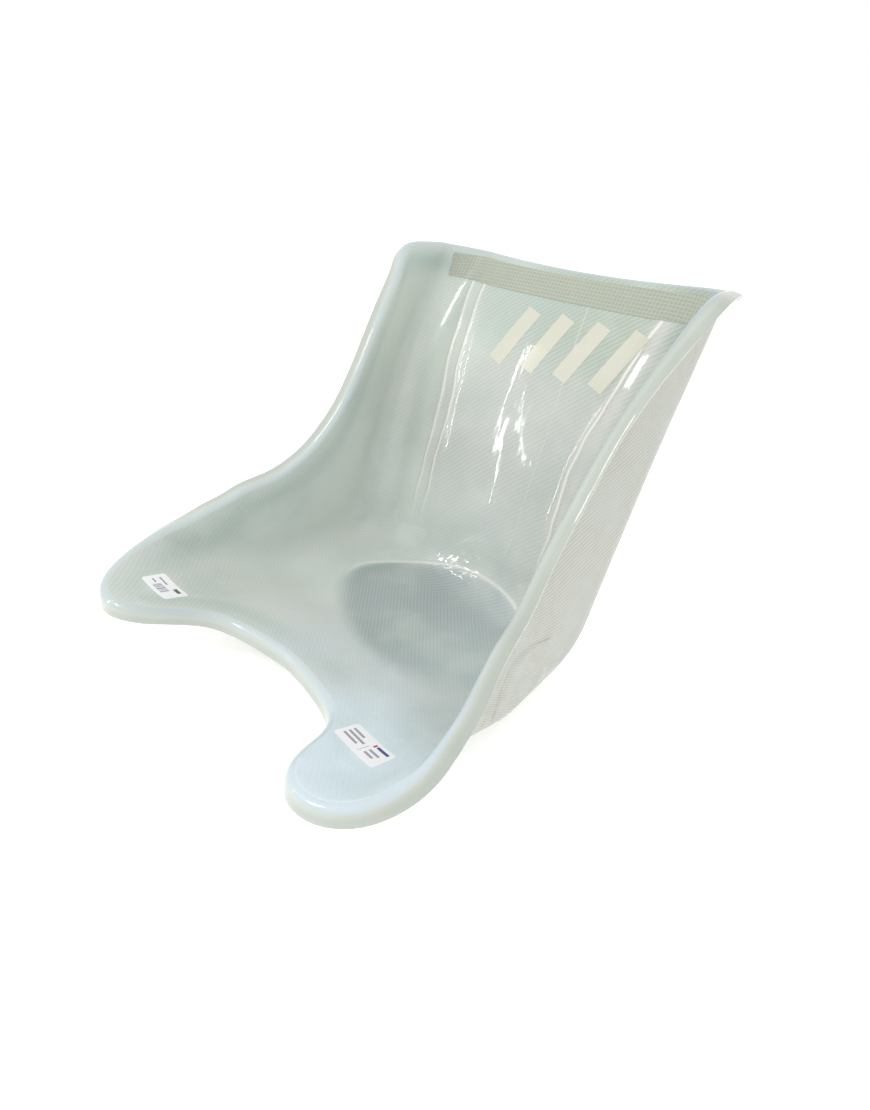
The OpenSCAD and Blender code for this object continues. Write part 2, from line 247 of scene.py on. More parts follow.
def atDepth(p, depth):
    # the inner face moved along its normal; the relief fades out through the inner skin
    share = np.clip(1 - np.asarray(depth) / shape["innerSkin"], 0, 1)
    return bent(p) + inward(p) * (reliefAt(p) * share - depth)[..., None]


def restPad(p):
    # extra thickness of the outer skin: a ring's bell, split into four by its fourth
    # harmonic, and a low flat in the middle
    u = p / shape["restHalf"]
    ring, turn = np.hypot(u[..., 0], u[..., 1]), np.arctan2(u[..., 1], u[..., 0])
    low = (1 + np.cos(4 * turn)) / 2 * np.minimum(ring, 1) + 1.5 * np.abs(ring - 1)
    inFlat = np.clip((shape["flatReach"] - ring) / shape["flatFade"], 0, 1)
    flat = (shape["restHeight"] - shape["flatRise"]) * inFlat
    return np.maximum(shape["restHeight"] * np.maximum(0, 1 - low), flat)


def gridFaces(index):
    # four-sided faces between neighbouring rows and columns of vertex numbers
    return np.stack([index[:-1, :-1], index[1:, :-1], index[1:, 1:], index[:-1, 1:]], -1).reshape(-1, 4)


def signedVolume(points, quads, tris):
    # six times the volume: negative when the faces point inwards
    a, b, c, d = (points[quads[:, k]] for k in range(4))
    total = np.einsum("ij,ij->", a, np.cross(b, c)) + np.einsum("ij,ij->", a, np.cross(c, d))
    if len(tris):
        a, b, c = (points[tris[:, k]] for k in range(3))
        total += np.einsum("ij,ij->", a, np.cross(b, c))
    return total


def addPiece(name, points, sheet, quads, tris, values, sharp=35):
    # points and sheet places in millimetres; values are per-vertex attributes
    points = points * mm
    tris = np.zeros((0, 3), int) if tris is None else tris
    if signedVolume(points, quads, tris) < 0:
        quads, tris = quads[:, ::-1], tris[:, ::-1]
    mesh = bpy.data.meshes.new(name)
    loops = np.concatenate([quads.ravel(), tris.ravel()]).astype(np.int32)
    starts = np.concatenate([np.arange(len(quads)) * 4, len(quads) * 4 + np.arange(len(tris)) * 3])
    mesh.vertices.add(len(points))
    mesh.vertices.foreach_set("co", points.ravel())
    mesh.loops.add(len(loops))
    mesh.loops.foreach_set("vertex_index", loops)
    mesh.polygons.add(len(starts))
    mesh.polygons.foreach_set("loop_start", starts.astype(np.int32))
    mesh.update(calc_edges=True)
    uv = mesh.uv_layers.new(name="sheet")
    uv.data.foreach_set("uv", (sheet[loops] * mm).ravel().astype(np.float32))
    for key, value in values.items():
        if value.ndim == 1:
            layer = mesh.attributes.new(key, "FLOAT", "POINT")
            layer.data.foreach_set("value", value.astype(np.float32))
        else:
            layer = mesh.attributes.new(key, "FLOAT_COLOR", "POINT")
            layer.data.foreach_set("color", np.c_[value, np.ones(len(value))].ravel().astype(np.float32))
    mesh.validate()
    mesh.shade_smooth()
    mesh.set_sharp_from_angle(angle=math.radians(sharp))
    piece = bpy.data.objects.new(name, mesh)
    bpy.context.scene.collection.objects.link(piece)
    return piece


def ringPiece(name, rows, sheetRows, values=None):
    # a closed skin: rows run right round the seat, and each end row closes on a middle point
    n = rows[0].shape[0]
    points, sheet = np.concatenate(rows), np.concatenate(sheetRows)
    index = np.arange(len(points)).reshape(-1, n)
    index = np.c_[index, index[:, :1]]
    first, last = len(points), len(points) + 1
    points = np.vstack([points, rows[0].mean(0), rows[-1].mean(0)])
    sheet = np.vstack([sheet, sheetRows[0].mean(0), sheetRows[-1].mean(0)])
    fanA = np.stack([np.full(n, first), index[0, :-1], index[0, 1:]], -1)
    fanB = np.stack([np.full(n, last), index[-1, 1:], index[-1, :-1]], -1)
    extra = {k: np.concatenate([v, v[:1], v[-1:]]) for k, v in (values or {}).items()}
    return addPiece(name, points, sheet, gridFaces(index), np.vstack([fanA, fanB]), extra)


def loopPiece(name, rows, sheetRows, values=None):
    # an endless strip: its cross-section is closed, and it runs right round the seat
    n = rows[0].shape[0]
    index = np.arange(len(rows) * n).reshape(-1, n)
    index = np.c_[index, index[:, :1]]
    index = np.vstack([index, index[:1]])
    points, sheet = np.concatenate(rows), np.concatenate(sheetRows)
    return addPiece(name, points, sheet, gridFaces(index), None, values or {})


def patchPiece(name, grid, top, bottom, values=None, sharp=35):
    # a patch of the shell between two depths, closed round its border
    m, n = grid.shape[:2]
    upper = np.arange(m * n).reshape(m, n)
    border = np.concatenate([upper[:-1, 0], upper[-1, :-1], upper[:0:-1, -1], upper[0, :0:-1]])
    following = np.roll(border, -1)
    quads = np.vstack([
        gridFaces(upper), gridFaces(upper + m * n)[:, ::-1],
        np.stack([border, border + m * n, following + m * n, following], -1)[:, ::-1]
    ])
    flat = grid.reshape(-1, 2)
    points = np.vstack([atDepth(flat, top), atDepth(flat, bottom)])
    both = {k: np.concatenate([v, v]) for k, v in (values or {}).items()}
    return addPiece(name, points, np.vstack([flat, flat]), quads, None, both, sharp)


def finishPiece(piece, node, material):
    piece.data.materials.append(material)
    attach(piece, "root")
    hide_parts(node)


print("sheet laid out")

detail = {
    "columns": 480, "panRows": 14, "wallRows": 88, "hiddenRows": 24, "lipSteps": 15,
    "edgeSamples": 8001, "panStart": -0.98  # the pan's rows start close to its middle
}

# rays at equal distances along the trimmed edge
fineRay = np.linspace(0, full, detail["edgeSamples"])
edgeLength = np.concatenate([[0], np.cumsum(np.linalg.norm(np.diff(edgeAt(fineRay), axis=0), axis=1))])
rays = np.interp(np.linspace(0, edgeLength[-1], detail["columns"] + 1)[:-1], edgeLength, fineRay)
rayLength = np.interp(rays, fineRay, edgeLength)
panRows = np.linspace(detail["panStart"], 0, detail["panRows"])
wallRows = np.linspace(0, 1, detail["wallRows"] + 1)[1:]
hiddenRows = np.linspace(detail["panStart"], 1, detail["hiddenRows"])

edgePoint = edgeAt(rays)
edgeInward = inward(edgePoint)
edgeAlong = unit(bent(edgeAt(rays + 0.02)) - bent(edgeAt(rays - 0.02)))
edgeOutward = unit(np.cross(edgeAlong, edgeInward))
edgeSheetAlong = unit(edgeAt(rays + 0.05) - edgeAt(rays - 0.05))
edgeSheetOutward = np.stack([edgeSheetAlong[:, 1], -edgeSheetAlong[:, 0]], -1)


def lipPoint(angle, radius, out):
    # a point of the lip: turned round the roll's centre at a radius, then run out along it
    c, s = math.cos(angle), math.sin(angle)
    spot = edgeInward * c + edgeOutward * s
    return (
        bent(edgePoint) - edgeInward * shape["rollRadius"] + spot * radius
        + (edgeOutward * c - edgeInward * s) * np.asarray(out).reshape(-1, 1)
    )


def lipSheet(length):
    # the lip's cloth runs on past the edge of the sheet
    return edgePoint + edgeSheetOutward * length


trim = {"wander": 0.5, "ripple": 0.12, "rimRound": 0.25, "rovingShort": 0.3, "rovingLumps": 0.25}
# how far the trimmed end of the lip falls short, as a hand-cut edge does
cutBack = (
    trim["wander"] * (0.5 + 0.5 * np.sin(rayLength / 61 + 2 * np.sin(rayLength / 143)))
    + trim["ripple"] * (1 + np.sin(rayLength / 7.3 + 3 * np.sin(rayLength / 29)))
)
rollRad = math.radians(shape["rollAngle"])
lipSteps = np.linspace(0, rollRad, detail["lipSteps"])


def innerSkinPiece():
    # from the pan's middle up the inner face, over the roll, along the lip, and back between
    # the skins; lip is the distance run past the edge
    inner, roll = shape["innerSkin"], shape["rollRadius"]
    rows, sheet, lip = [], [], []
    for t in np.concatenate([panRows, wallRows[:-1]]):
        p = layout(rays, t)
        rows.append(atDepth(p, np.zeros(len(p))))
        sheet.append(p)
        lip.append(np.zeros(len(p)))
    for w in lipSteps:
        rows.append(lipPoint(w, roll, 0))
        sheet.append(lipSheet(w * roll))
        lip.append(np.full(len(rays), w * roll))
    for k, short in ((0.35, 0), (0.7, 0), (0.93, 0), (1, trim["rimRound"])):
        out = k * (shape["lipLength"] - cutBack)
        rows.append(lipPoint(rollRad, roll - short, out))
        sheet.append(lipSheet(rollRad * roll + out[:, None]))
        lip.append(rollRad * roll + out)
    for k in (1, 0.5):
        out = k * (shape["lipLength"] - cutBack)
        rows.append(lipPoint(rollRad, roll - inner, out))
        sheet.append(lipSheet(rollRad * roll + out[:, None]))
        lip.append(rollRad * roll + out)
    for w in lipSteps[::-2]:
        rows.append(lipPoint(w, roll - inner, 0))
        sheet.append(lipSheet(w * roll))
        lip.append(np.full(len(rays), w * roll))
    for t in hiddenRows[::-1][1:]:
        p = layout(rays, t)
        rows.append(atDepth(p, np.full(len(p), inner)))
        sheet.append(p)
        lip.append(np.zeros(len(p)))
    p = np.concatenate(sheet)
    inset = np.concatenate([np.linalg.norm(q - edgePoint, axis=1) for q in sheet])
    values = {"lip": np.concatenate(lip), "tint": glassTint(p, inset)}
    return ringPiece("InnerSkin", rows, sheet, values)


def outerSkinPiece():
    # up the hidden face under the core, and back down the outer face over the pads
    top = shape["innerSkin"] + shape["core"]
    outerRows = np.concatenate([panRows, wallRows])[::-1]
    rows, sheet = [], []
    for t, depth in [(t, top) for t in hiddenRows] + [(t, wallT) for t in outerRows]:
        p = layout(rays, t)
        pad = restPad(p) if depth == wallT else np.zeros(len(p))
        rows.append(atDepth(p, depth + pad))
        sheet.append(p)
    return ringPiece("OuterSkin", rows, sheet)


def rovingPiece():
    # a bundle inside the roll: out along its outer face, and back along a lumpy inner one
    outer = shape["rollRadius"] - shape["innerSkin"]
    inner = outer - shape["roving"]
    lumps = 0.5 + 0.5 * np.sin(rayLength / 5.1 + 2.4 * np.sin(rayLength / 37))
    rollEnd = edgeInward * math.cos(rollRad) + edgeOutward * math.sin(rollRad)
    rows, sheet = [], []
    steps = lipSteps[::2]
    ends = shape["lipLength"] - cutBack - trim["rovingShort"]
    for w in steps:
        rows.append(lipPoint(w, outer, 0))
        sheet.append(lipSheet(w * outer))
    for k, thin in ((0.5, 0), (1, 0), (1, 1), (0.5, 1)):
        radius = inner + trim["rovingLumps"] * lumps if thin else np.full(len(rays), outer)
        rows.append(lipPoint(rollRad, 0, k * ends) + radius[:, None] * rollEnd)
        sheet.append(lipSheet(rollRad * outer + (k * ends)[:, None] + thin * shape["roving"]))
    for w in steps[::-1]:
        rows.append(lipPoint(w, inner, 0))
        sheet.append(lipSheet(w * outer + shape["roving"]))
    return loopPiece("EdgeRoving", rows, sheet)


glass = {
    # colour of the glass by place on the sheet, because plies and resin lie thicker in some
    # places: [a, b], reach, colour as seen
    "zones": [
        ((-150, -200), 60, (0.760, 0.785, 0.755)),
        ((-95, -125), 50, (0.830, 0.838, 0.815)),
        ((150, -230), 75, (0.840, 0.900, 0.940)),
        ((0, -140), 60, (0.800, 0.830, 0.838)),
        ((170, -110), 60, (0.790, 0.815, 0.815)),
        ((-190, -60), 80, (0.815, 0.848, 0.820)),
        ((-170, 110), 80, (0.825, 0.855, 0.825)),
        ((0, 110), 60, (0.735, 0.757, 0.742)),
        ((-40, 250), 60, (0.690, 0.705, 0.680)),
        ((50, 260), 60, (0.700, 0.714, 0.685)),
        ((-190, 320), 80, (0.770, 0.802, 0.762)),
        ((-80, 425), 50, (0.640, 0.690, 0.645)),
        ((60, 410), 60, (0.610, 0.655, 0.590)),
        ((170, 170), 80, (0.745, 0.762, 0.732)),
        ((190, 400), 80, (0.530, 0.585, 0.540))
    ],
    # the pan is darker, with a sharp edge behind and a soft one in front, and painted light lifts it towards
    # the right against the right wall's shadow
    "pan": (0.575, 0.622, 0.625), "panShare": 0.94, "panRightPaintedLight": 0.3,
    "panOval": {"middle": (10, -5), "halfWidth": 125, "halfLength": 88, "skew": 0.06, "taper": 0.0018},
    "frontSoftness": 0.36, "rearSharper": 0.26,
    # thin laminate below the rim lets a green-blue through, most on the left and at the top
    "thin": (0.600, 0.690, 0.660), "thinShare": 0.15, "thinLeft": 0.28, "thinTop": 0.3,
    "thinInset": 20, "thinReach": 16,
    # painted highlight in a pale band beside each raised line: [distance outside the line, reach]
    "ridge": (0.830, 0.815, 0.790), "ridgeHighlightShare": 0.6, "ridgeHighlightRight": (7, 10), "ridgeHighlightLeft": (10, 12),
    "ridgeRows": (130, 80, 445, 30)
}


def linear(colour):
    c = np.asarray(colour, float)
    return np.where(c <= 0.04045, c / 12.92, ((c + 0.055) / 1.055) ** 2.4)


def shade(r, g, b):
    # a colour as seen, in the values that shaders work with
    return tuple(linear((r, g, b)))


def panRing(a, b):
    # 1 on the pan's oval, which is skewed and grows longer to the right: the distance from
    # its middle, counted in half widths and half lengths
    oval = glass["panOval"]
    across = (a - oval["middle"][0]) / oval["halfWidth"]
    along = b - oval["middle"][1] + oval["skew"] * a
    return np.hypot(across, along / (oval["halfLength"] * (1 + oval["taper"] * a)))


def glassTint(p, inset):
    # each zone's colour is weighted by a bell round its middle, over the sum of the bells
    total, weight = np.zeros((len(p), 3)), np.full((len(p), 1), 1e-9)
    for middle, reach, colour in glass["zones"]:
        w = np.exp(-((p - middle) ** 2).sum(1) / reach ** 2)[:, None] + 1e-7
        total += w * linear(colour)
        weight += w
    tint = total / weight
    a, b = p[:, 0], p[:, 1]
    soft = glass["frontSoftness"] - glass["rearSharper"] * smooth((b + 50) / 70)
    pan = (glass["panShare"] * smooth((1 - panRing(a, b)) / soft + 0.5))[:, None]
    # painted light: the pan grows lighter towards the right
    paintedLight = (1 + glass["panRightPaintedLight"] * smooth(a / 90))[:, None]
    tint = tint * (1 - pan) + linear(glass["pan"]) * paintedLight * pan
    leftSide, top = smooth(-a / 90), smooth((b - 380) / 60)
    thin = glass["thinShare"] + glass["thinLeft"] * leftSide + glass["thinTop"] * top
    thin = (thin * bump(inset, glass["thinInset"], glass["thinReach"]))[:, None]
    tint = tint * (1 - thin) + linear(glass["thin"]) * thin
    # painted highlight: a pale band outside each raised line, half as strong on the left
    ridge = ridgeAt(b)
    (rightStep, rightReach), (leftStep, leftReach) = glass["ridgeHighlightRight"], glass["ridgeHighlightLeft"]
    share = bump(a, ridge + rightStep, rightReach) + 0.5 * bump(a, -ridge - leftStep, leftReach)
    share = glass["ridgeHighlightShare"] * between(b, *glass["ridgeRows"]) * share
    share = np.clip(share, 0, 1)[:, None]
    return tint * (1 - share) + linear(glass["ridge"]) * share


class Nodes:
    # a new material, with short ways to add a node and feed its sockets
    def __init__(self, name):
        self.material = bpy.data.materials.new(name)
        self.material.use_nodes = True
        self.tree = self.material.node_tree
        self.shader = self.tree.nodes["Principled BSDF"]

    def make(self, kind, **sockets):
        node = self.tree.nodes.new("ShaderNode" + kind)
        for key, value in sockets.items():
            self.put(node.inputs[key.replace("_", " ")], value)
        return node

    def put(self, socket, value):
        if isinstance(value, bpy.types.NodeSocket):
            self.tree.links.new(value, socket)
        else:
            socket.default_value = value

    def calc(self, operation, a, b=0.0, c=0.0):
        node = self.tree.nodes.new("ShaderNodeMath")
        node.operation = operation
        for socket, value in zip(node.inputs, (a, b, c)):
            self.put(socket, value)
        return node.outputs[0]

    def mix(self, share, a, b, blend="MIX"):
        node = self.tree.nodes.new("ShaderNodeMix")
        node.data_type = "RGBA"
        node.blend_type = blend
        self.put(node.inputs[0], share)
        self.put(node.inputs[6], a if isinstance(a, bpy.types.NodeSocket) else (*a, 1))
        self.put(node.inputs[7], b if isinstance(b, bpy.types.NodeSocket) else (*b, 1))
        return node.outputs[2]

    def ramp(self, value, low, high, outLow=0.0, outHigh=1.0):
        node = self.tree.nodes.new("ShaderNodeMapRange")
        node.interpolation_type = "SMOOTHSTEP"
        for socket, v in zip(node.inputs, (value, low, high, outLow, outHigh)):
            self.put(socket, v)
        return node.outputs[0]

    def sheet(self, turn=0.0, scale=1.0, stretch=1.0):
        uv = self.tree.nodes.new("ShaderNodeUVMap")
        uv.uv_map = "sheet"
        mapping = self.make("Mapping", Vector=uv.outputs[0])
        mapping.inputs["Rotation"].default_value = (0, 0, math.radians(turn))
        mapping.inputs["Scale"].default_value = (scale, scale * stretch, scale)
        return mapping.outputs[0]

    def stripes(self, turn, pitch, distortion=0.0, detailScale=1.0):
        # light and dark bands one pitch apart, across the turned sheet
        node = self.make("TexWave", Vector=self.sheet(turn, 1 / pitch), Scale=math.pi / 10)
        node.inputs["Distortion"].default_value = distortion
        node.inputs["Detail Scale"].default_value = detailScale
        return node.outputs["Fac"]

    def noise(self, scale, detail=3.0, roughness=0.5, vector=None):
        if vector is None:
            vector = self.make("TexCoord").outputs["Object"]
        node = self.make("TexNoise", Vector=vector, Scale=scale, Detail=detail, Roughness=roughness)
        return node.outputs["Fac"]

    def bell(self, value, middle, width):
        # exp(-x^2), x counted in widths from the middle
        x = self.calc("DIVIDE", self.calc("SUBTRACT", value, middle), width)
        return self.calc("POWER", math.e, self.calc("MULTIPLY", self.calc("MULTIPLY", x, x), -1.0))

    def attribute(self, name, output="Fac"):
        node = self.tree.nodes.new("ShaderNodeAttribute")
        node.attribute_name = name
        return node.outputs[output]

    def bumpFrom(self, height, distance, strength=1.0, normal=None):
        node = self.make("Bump", Height=height, Distance=distance, Strength=strength)
        if normal is not None:
            self.put(node.inputs["Normal"], normal)
        return node.outputs[0]

    def finish(self, **sockets):
        for key, value in sockets.items():
            self.put(self.shader.inputs[key.replace("_", " ")], value)
        return self.material


# spacing of the cloth's bands in metres, and how far they are turned on the sheet
weave = {
    "pitch": 0.0048, "turn": 45, "frontPitch": 0.0040, "frontTurn": -42, "yarn": 0.0021,
    "outsidePitch": 0.0042, "outsideTurn": -38, "outsideYarn": 0.0024, "tapePitch": 0.0042
}
# lines on the inner face, in metres: the raised lines, [distance, share] of the two on the
# left, the crease behind the pan's oval in units of the oval, and a seam
mould = {
    "ridgeWidth": 0.0022, "wander": 0.012, "leftLines": ((0.003, 0.9), (0.020, 0.8)), "leftWidth": 0.0020,
    "crease": 1.03, "creaseWidth": 0.022, "seamWidth": 0.0009, "seamShare": 0.4
}


def mouldLines(n):
    # sharp lines left by the mould: two on the back's left, one on its right, the oval's rear edge, and a
    # fine ply seam, from the sheet coordinates in metres; they give small bumps, and a pale colour along them
    # is painted highlight on the raised lines and the crease, beside the seam's own pale line
    split = n.make("SeparateXYZ", Vector=n.sheet())
    a, b = split.outputs[0], split.outputs[1]
    start, end = relief["ridgeStart"] * mm, (relief["ridgeStart"] + relief["ridgeBlend"]) * mm
    ridge = n.ramp(b, start, end, relief["ridgeFoot"] * mm, relief["ridgeTop"] * mm)
    wander = n.calc("MULTIPLY_ADD", n.noise(16, 1), mould["wander"], -mould["wander"] / 2)
    side = n.calc("ADD", a, wander)
    lines = n.bell(side, ridge, mould["ridgeWidth"])
    for shift, share in mould["leftLines"]:
        spot = n.calc("SUBTRACT", n.calc("MULTIPLY", ridge, -1.0), shift)
        lines = n.calc("ADD", lines, n.calc("MULTIPLY", n.bell(side, spot, mould["leftWidth"]), share))
    onBack = n.calc("MULTIPLY", n.ramp(b, 0.10, 0.18), n.ramp(b, 0.41, 0.44, 1, 0))
    # the oval as in panRing
    oval = glass["panOval"]
    across = n.calc("DIVIDE", n.calc("SUBTRACT", a, oval["middle"][0] * mm), oval["halfWidth"] * mm)
    along = n.calc("SUBTRACT", n.calc("MULTIPLY_ADD", a, oval["skew"], b), oval["middle"][1] * mm)
    length = n.calc("MULTIPLY_ADD", a, oval["halfLength"] * oval["taper"], oval["halfLength"] * mm)
    ring = n.tree.nodes.new("ShaderNodeVectorMath")
    ring.operation = "LENGTH"
    n.put(ring.inputs[0], n.make("CombineXYZ", X=across, Y=n.calc("DIVIDE", along, length)).outputs[0])
    crease = n.bell(ring.outputs["Value"], mould["crease"], mould["creaseWidth"])
    crease = n.calc("MULTIPLY", crease, n.ramp(b, -0.03, 0.03))
    seam = n.bell(side, n.ramp(b, 0.25, 0.445, 0.048, 0.030), mould["seamWidth"])
    lines = n.calc("MULTIPLY_ADD", seam, mould["seamShare"], lines)
    return n.calc("MULTIPLY", lines, onBack), crease


gelcoat = {
    "cloth": (0.90, 0.92, 0.91), "clothShare": 0.26, "green": (0.62, 0.70, 0.665), "greenShare": 0.32,
    "grain": (0.52, 0.56, 0.54), "grainShare": 0.10, "cloud": (0.84, 0.85, 0.82), "cloudShare": 0.30,
    # line: the pale colour of the painted highlights on the raised lines and the crease, also used for the
    # pale ply seam
    "line": (0.95, 0.94, 0.91), "lineHighlightShare": 0.8, "creaseHighlightShare": 0.55,
    "rim": ((0.700, 0.722, 0.680), (0.730, 0.750, 0.715)),
    "flange": (0.640, 0.675, 0.640), "flangeShare": 0.6,  # face of the lip
    "crestHighlight": (0.71, 0.76, 0.775), "crestHighlightShare": 0.55,  # painted highlight along the top of the roll
    # height in metres and strength of each unevenness
    "clothBump": 0.00014, "cloudBump": (0.0008, 0.5), "drawnBump": (0.0009, 0.3), "lineBump": 0.0012,
    "coat": 0.8, "coatRoughness": 0.045
}


def glassInsideMaterial():
    n = Nodes("gelcoat over fine twill")
    # the front's cloth is laid across the back's
    place = n.make("SeparateXYZ", Vector=n.sheet()).outputs[1]
    onBack = n.ramp(place, 0.02, 0.06)
    backTwill = n.calc("MULTIPLY", n.stripes(weave["turn"], weave["pitch"], 0.3, 2), onBack)
    frontTwill = n.stripes(weave["frontTurn"], weave["frontPitch"], 0.3, 2)
    twill = n.calc("ADD", backTwill, n.calc("MULTIPLY", frontTwill, n.calc("SUBTRACT", 1.0, onBack)))
    yarn = n.stripes(-weave["turn"], weave["yarn"], 0.4, 2)
    grain = n.noise(900, 2)
    cloud = n.noise(14, 3)
    drawn = n.noise(55, 2, 0.4, n.sheet(0, 1, 0.14))  # unevenness drawn out up the back
    lip = n.attribute("lip")  # millimetres past the edge of the sheet
    lines, crease = mouldLines(n)
    cloth = n.calc("MULTIPLY_ADD", twill, 0.65, n.calc("MULTIPLY", yarn, 0.35))
    cloth = n.calc("MULTIPLY", cloth, n.ramp(lip, 0, 6, 1, 0.12))
    clothShare = n.calc("MULTIPLY", cloth, gelcoat["clothShare"])
    base = n.mix(clothShare, n.attribute("tint", "Color"), shade(*gelcoat["cloth"]))
    green = n.ramp(n.noise(9, 4, 0.6), 0.45, 0.75, 0, gelcoat["greenShare"])
    base = n.mix(green, base, shade(*gelcoat["green"]))
    base = n.mix(n.ramp(grain, 0.35, 0.75, 0, gelcoat["grainShare"]), base, shade(*gelcoat["grain"]))
    base = n.mix(n.ramp(cloud, 0.45, 0.75, 0, gelcoat["cloudShare"]), base, shade(*gelcoat["cloud"]))
    # painted highlights: a pale colour along the raised lines and the oval's crease, with the ply seam's own
    # pale line
    lineHighlight = n.calc("MULTIPLY", lines, gelcoat["lineHighlightShare"])
    seen = n.calc("MULTIPLY_ADD", crease, gelcoat["creaseHighlightShare"], lineHighlight)
    base = n.mix(seen, base, shade(*gelcoat["line"]))
    # towards the lip: the rim, the lip's face and a painted highlight along the top of the roll
    rim = n.mix(n.noise(35, 2), *(shade(*colour) for colour in gelcoat["rim"]))
    base = n.mix(n.ramp(lip, 5.0, 12.5), base, rim)
    base = n.mix(n.ramp(lip, 11, 16, 0, gelcoat["flangeShare"]), base, shade(*gelcoat["flange"]))
    # painted highlight: a pale blue band over the top of the roll
    crestHighlight = n.calc("MULTIPLY", n.ramp(lip, 0.2, 3.0), n.ramp(lip, 7, 12, 1, 0))
    base = n.mix(n.calc("MULTIPLY", crestHighlight, gelcoat["crestHighlightShare"]), base, shade(*gelcoat["crestHighlight"]))
    height = n.calc("MULTIPLY_ADD", cloth, 0.5, n.calc("MULTIPLY", grain, 0.5))
    offLip = n.ramp(lip, 0, 5, 1, 0)
    slow = n.bumpFrom(n.calc("MULTIPLY", cloud, offLip), *gelcoat["cloudBump"])
    slow = n.bumpFrom(n.calc("MULTIPLY", drawn, offLip), *gelcoat["drawnBump"], slow)
    slow = n.bumpFrom(n.calc("MULTIPLY_ADD", crease, 0.3, lines), gelcoat["lineBump"], 1.0, slow)
    return n.finish(
        Base_Color=base, Roughness=n.ramp(n.noise(45, 4), 0.35, 0.7, 0.36, 0.5),
        Normal=n.bumpFrom(height, gelcoat["clothBump"], 1.0, slow), IOR=1.53,
        # clear gelcoat over the cloth
        Coat_Weight=gelcoat["coat"], Coat_Roughness=gelcoat["coatRoughness"], Coat_Normal=slow
    )


outsideCloth = {
    "valley": (0.665, 0.672, 0.634), "crown": (0.735, 0.740, 0.706), "cloud": (0.705, 0.725, 0.70),
    "cloudShare": 0.5, "clothBump": 0.00016, "resinBump": 0.0002
}


def glassOutsideMaterial():
    n = Nodes("coarse twill under thin resin")
    twill = n.stripes(weave["outsideTurn"], weave["outsidePitch"], 0.25, 1.5)
    yarn = n.stripes(weave["outsideTurn"] - 90, weave["outsideYarn"], 0.5, 1)
    cloth = n.calc("MULTIPLY_ADD", twill, 0.75, n.calc("MULTIPLY", yarn, 0.25))
    cloud = n.noise(11, 3)
    base = n.mix(n.ramp(cloth, 0.15, 0.8), shade(*outsideCloth["valley"]), shade(*outsideCloth["crown"]))
    base = n.mix(n.ramp(cloud, 0.35, 0.7, 0, outsideCloth["cloudShare"]), base, shade(*outsideCloth["cloud"]))
    normal = n.bumpFrom(cloth, outsideCloth["clothBump"])
    normal = n.bumpFrom(n.noise(160, 3), outsideCloth["resinBump"], 0.5, normal)
    rough = n.ramp(n.noise(60, 3), 0.35, 0.7, 0.34, 0.55)
    return n.finish(
        Base_Color=base, Roughness=rough, Normal=normal, IOR=1.53, Coat_Weight=0.1, Coat_Roughness=0.2)


def coreMaterial(name, colour):
    n = Nodes(name)
    mat = n.noise(420, 5, 0.7)
    base = n.mix(n.ramp(mat, 0.3, 0.7), shade(*colour), shade(*(np.array(colour) * 0.9)))
    return n.finish(Base_Color=base, Roughness=0.45, IOR=1.53, Normal=n.bumpFrom(mat, 0.0002))


def rovingMaterial():
    n = Nodes("resin-rich roving")
    along = n.noise(120, 4, 0.6)
    base = n.mix(n.ramp(along, 0.3, 0.7), shade(0.78, 0.78, 0.72), shade(0.72, 0.73, 0.66))
    base = n.mix(n.ramp(n.noise(30, 2), 0.62, 0.75, 0, 0.5), base, shade(0.74, 0.71, 0.58))
    return n.finish(
        Base_Color=base, Roughness=n.ramp(along, 0.3, 0.7, 0.2, 0.4), IOR=1.53,
        Normal=n.bumpFrom(along, 0.0004)
    )


def tapeMaterial():
    n = Nodes("plain-weave tape under resin")
    warp = n.ramp(n.stripes(0, weave["tapePitch"]), 0.5, 0.95)
    weft = n.ramp(n.stripes(90, weave["tapePitch"]), 0.5, 0.95)
    net = n.calc("MAXIMUM", warp, weft)
    knots = n.calc("MULTIPLY", warp, weft)
    base = n.mix(net, shade(0.600, 0.635, 0.580), shade(0.665, 0.680, 0.620))
    base = n.mix(n.calc("MULTIPLY", knots, 0.5), base, shade(0.70, 0.71, 0.65))
    rough = n.ramp(n.noise(50, 3), 0.35, 0.7, 0.16, 0.32)
    return n.finish(
        Base_Color=base, Roughness=rough, IOR=1.53, Normal=n.bumpFrom(net, 0.00015),
        Coat_Weight=0.3, Coat_Roughness=0.08
    )


def filmMaterial():
    n = Nodes("cream film")
    fine = n.noise(700, 2)
    base = n.mix(n.ramp(fine, 0.3, 0.7), shade(0.800, 0.795, 0.730), shade(0.780, 0.780, 0.720))
    through = n.calc("MULTIPLY", n.stripes(weave["turn"], weave["pitch"], 0.5, 2), 0.2)
    base = n.mix(through, base, shade(0.75, 0.76, 0.71))  # the cloth shows through the film
    return n.finish(Base_Color=base, Roughness=0.3, IOR=1.5, Coat_Weight=0.3, Coat_Roughness=0.1)


inside = glassInsideMaterial()
outside = glassOutsideMaterial()
roving = rovingMaterial()
tape = tapeMaterial()
film = filmMaterial()
print("materials made")

finishPiece(innerSkinPiece(), "inner_skin", inside)
finishPiece(outerSkinPiece(), "outer_skin", outside)
finishPiece(rovingPiece(), "edge_roving", roving)
print("skins and roving made")

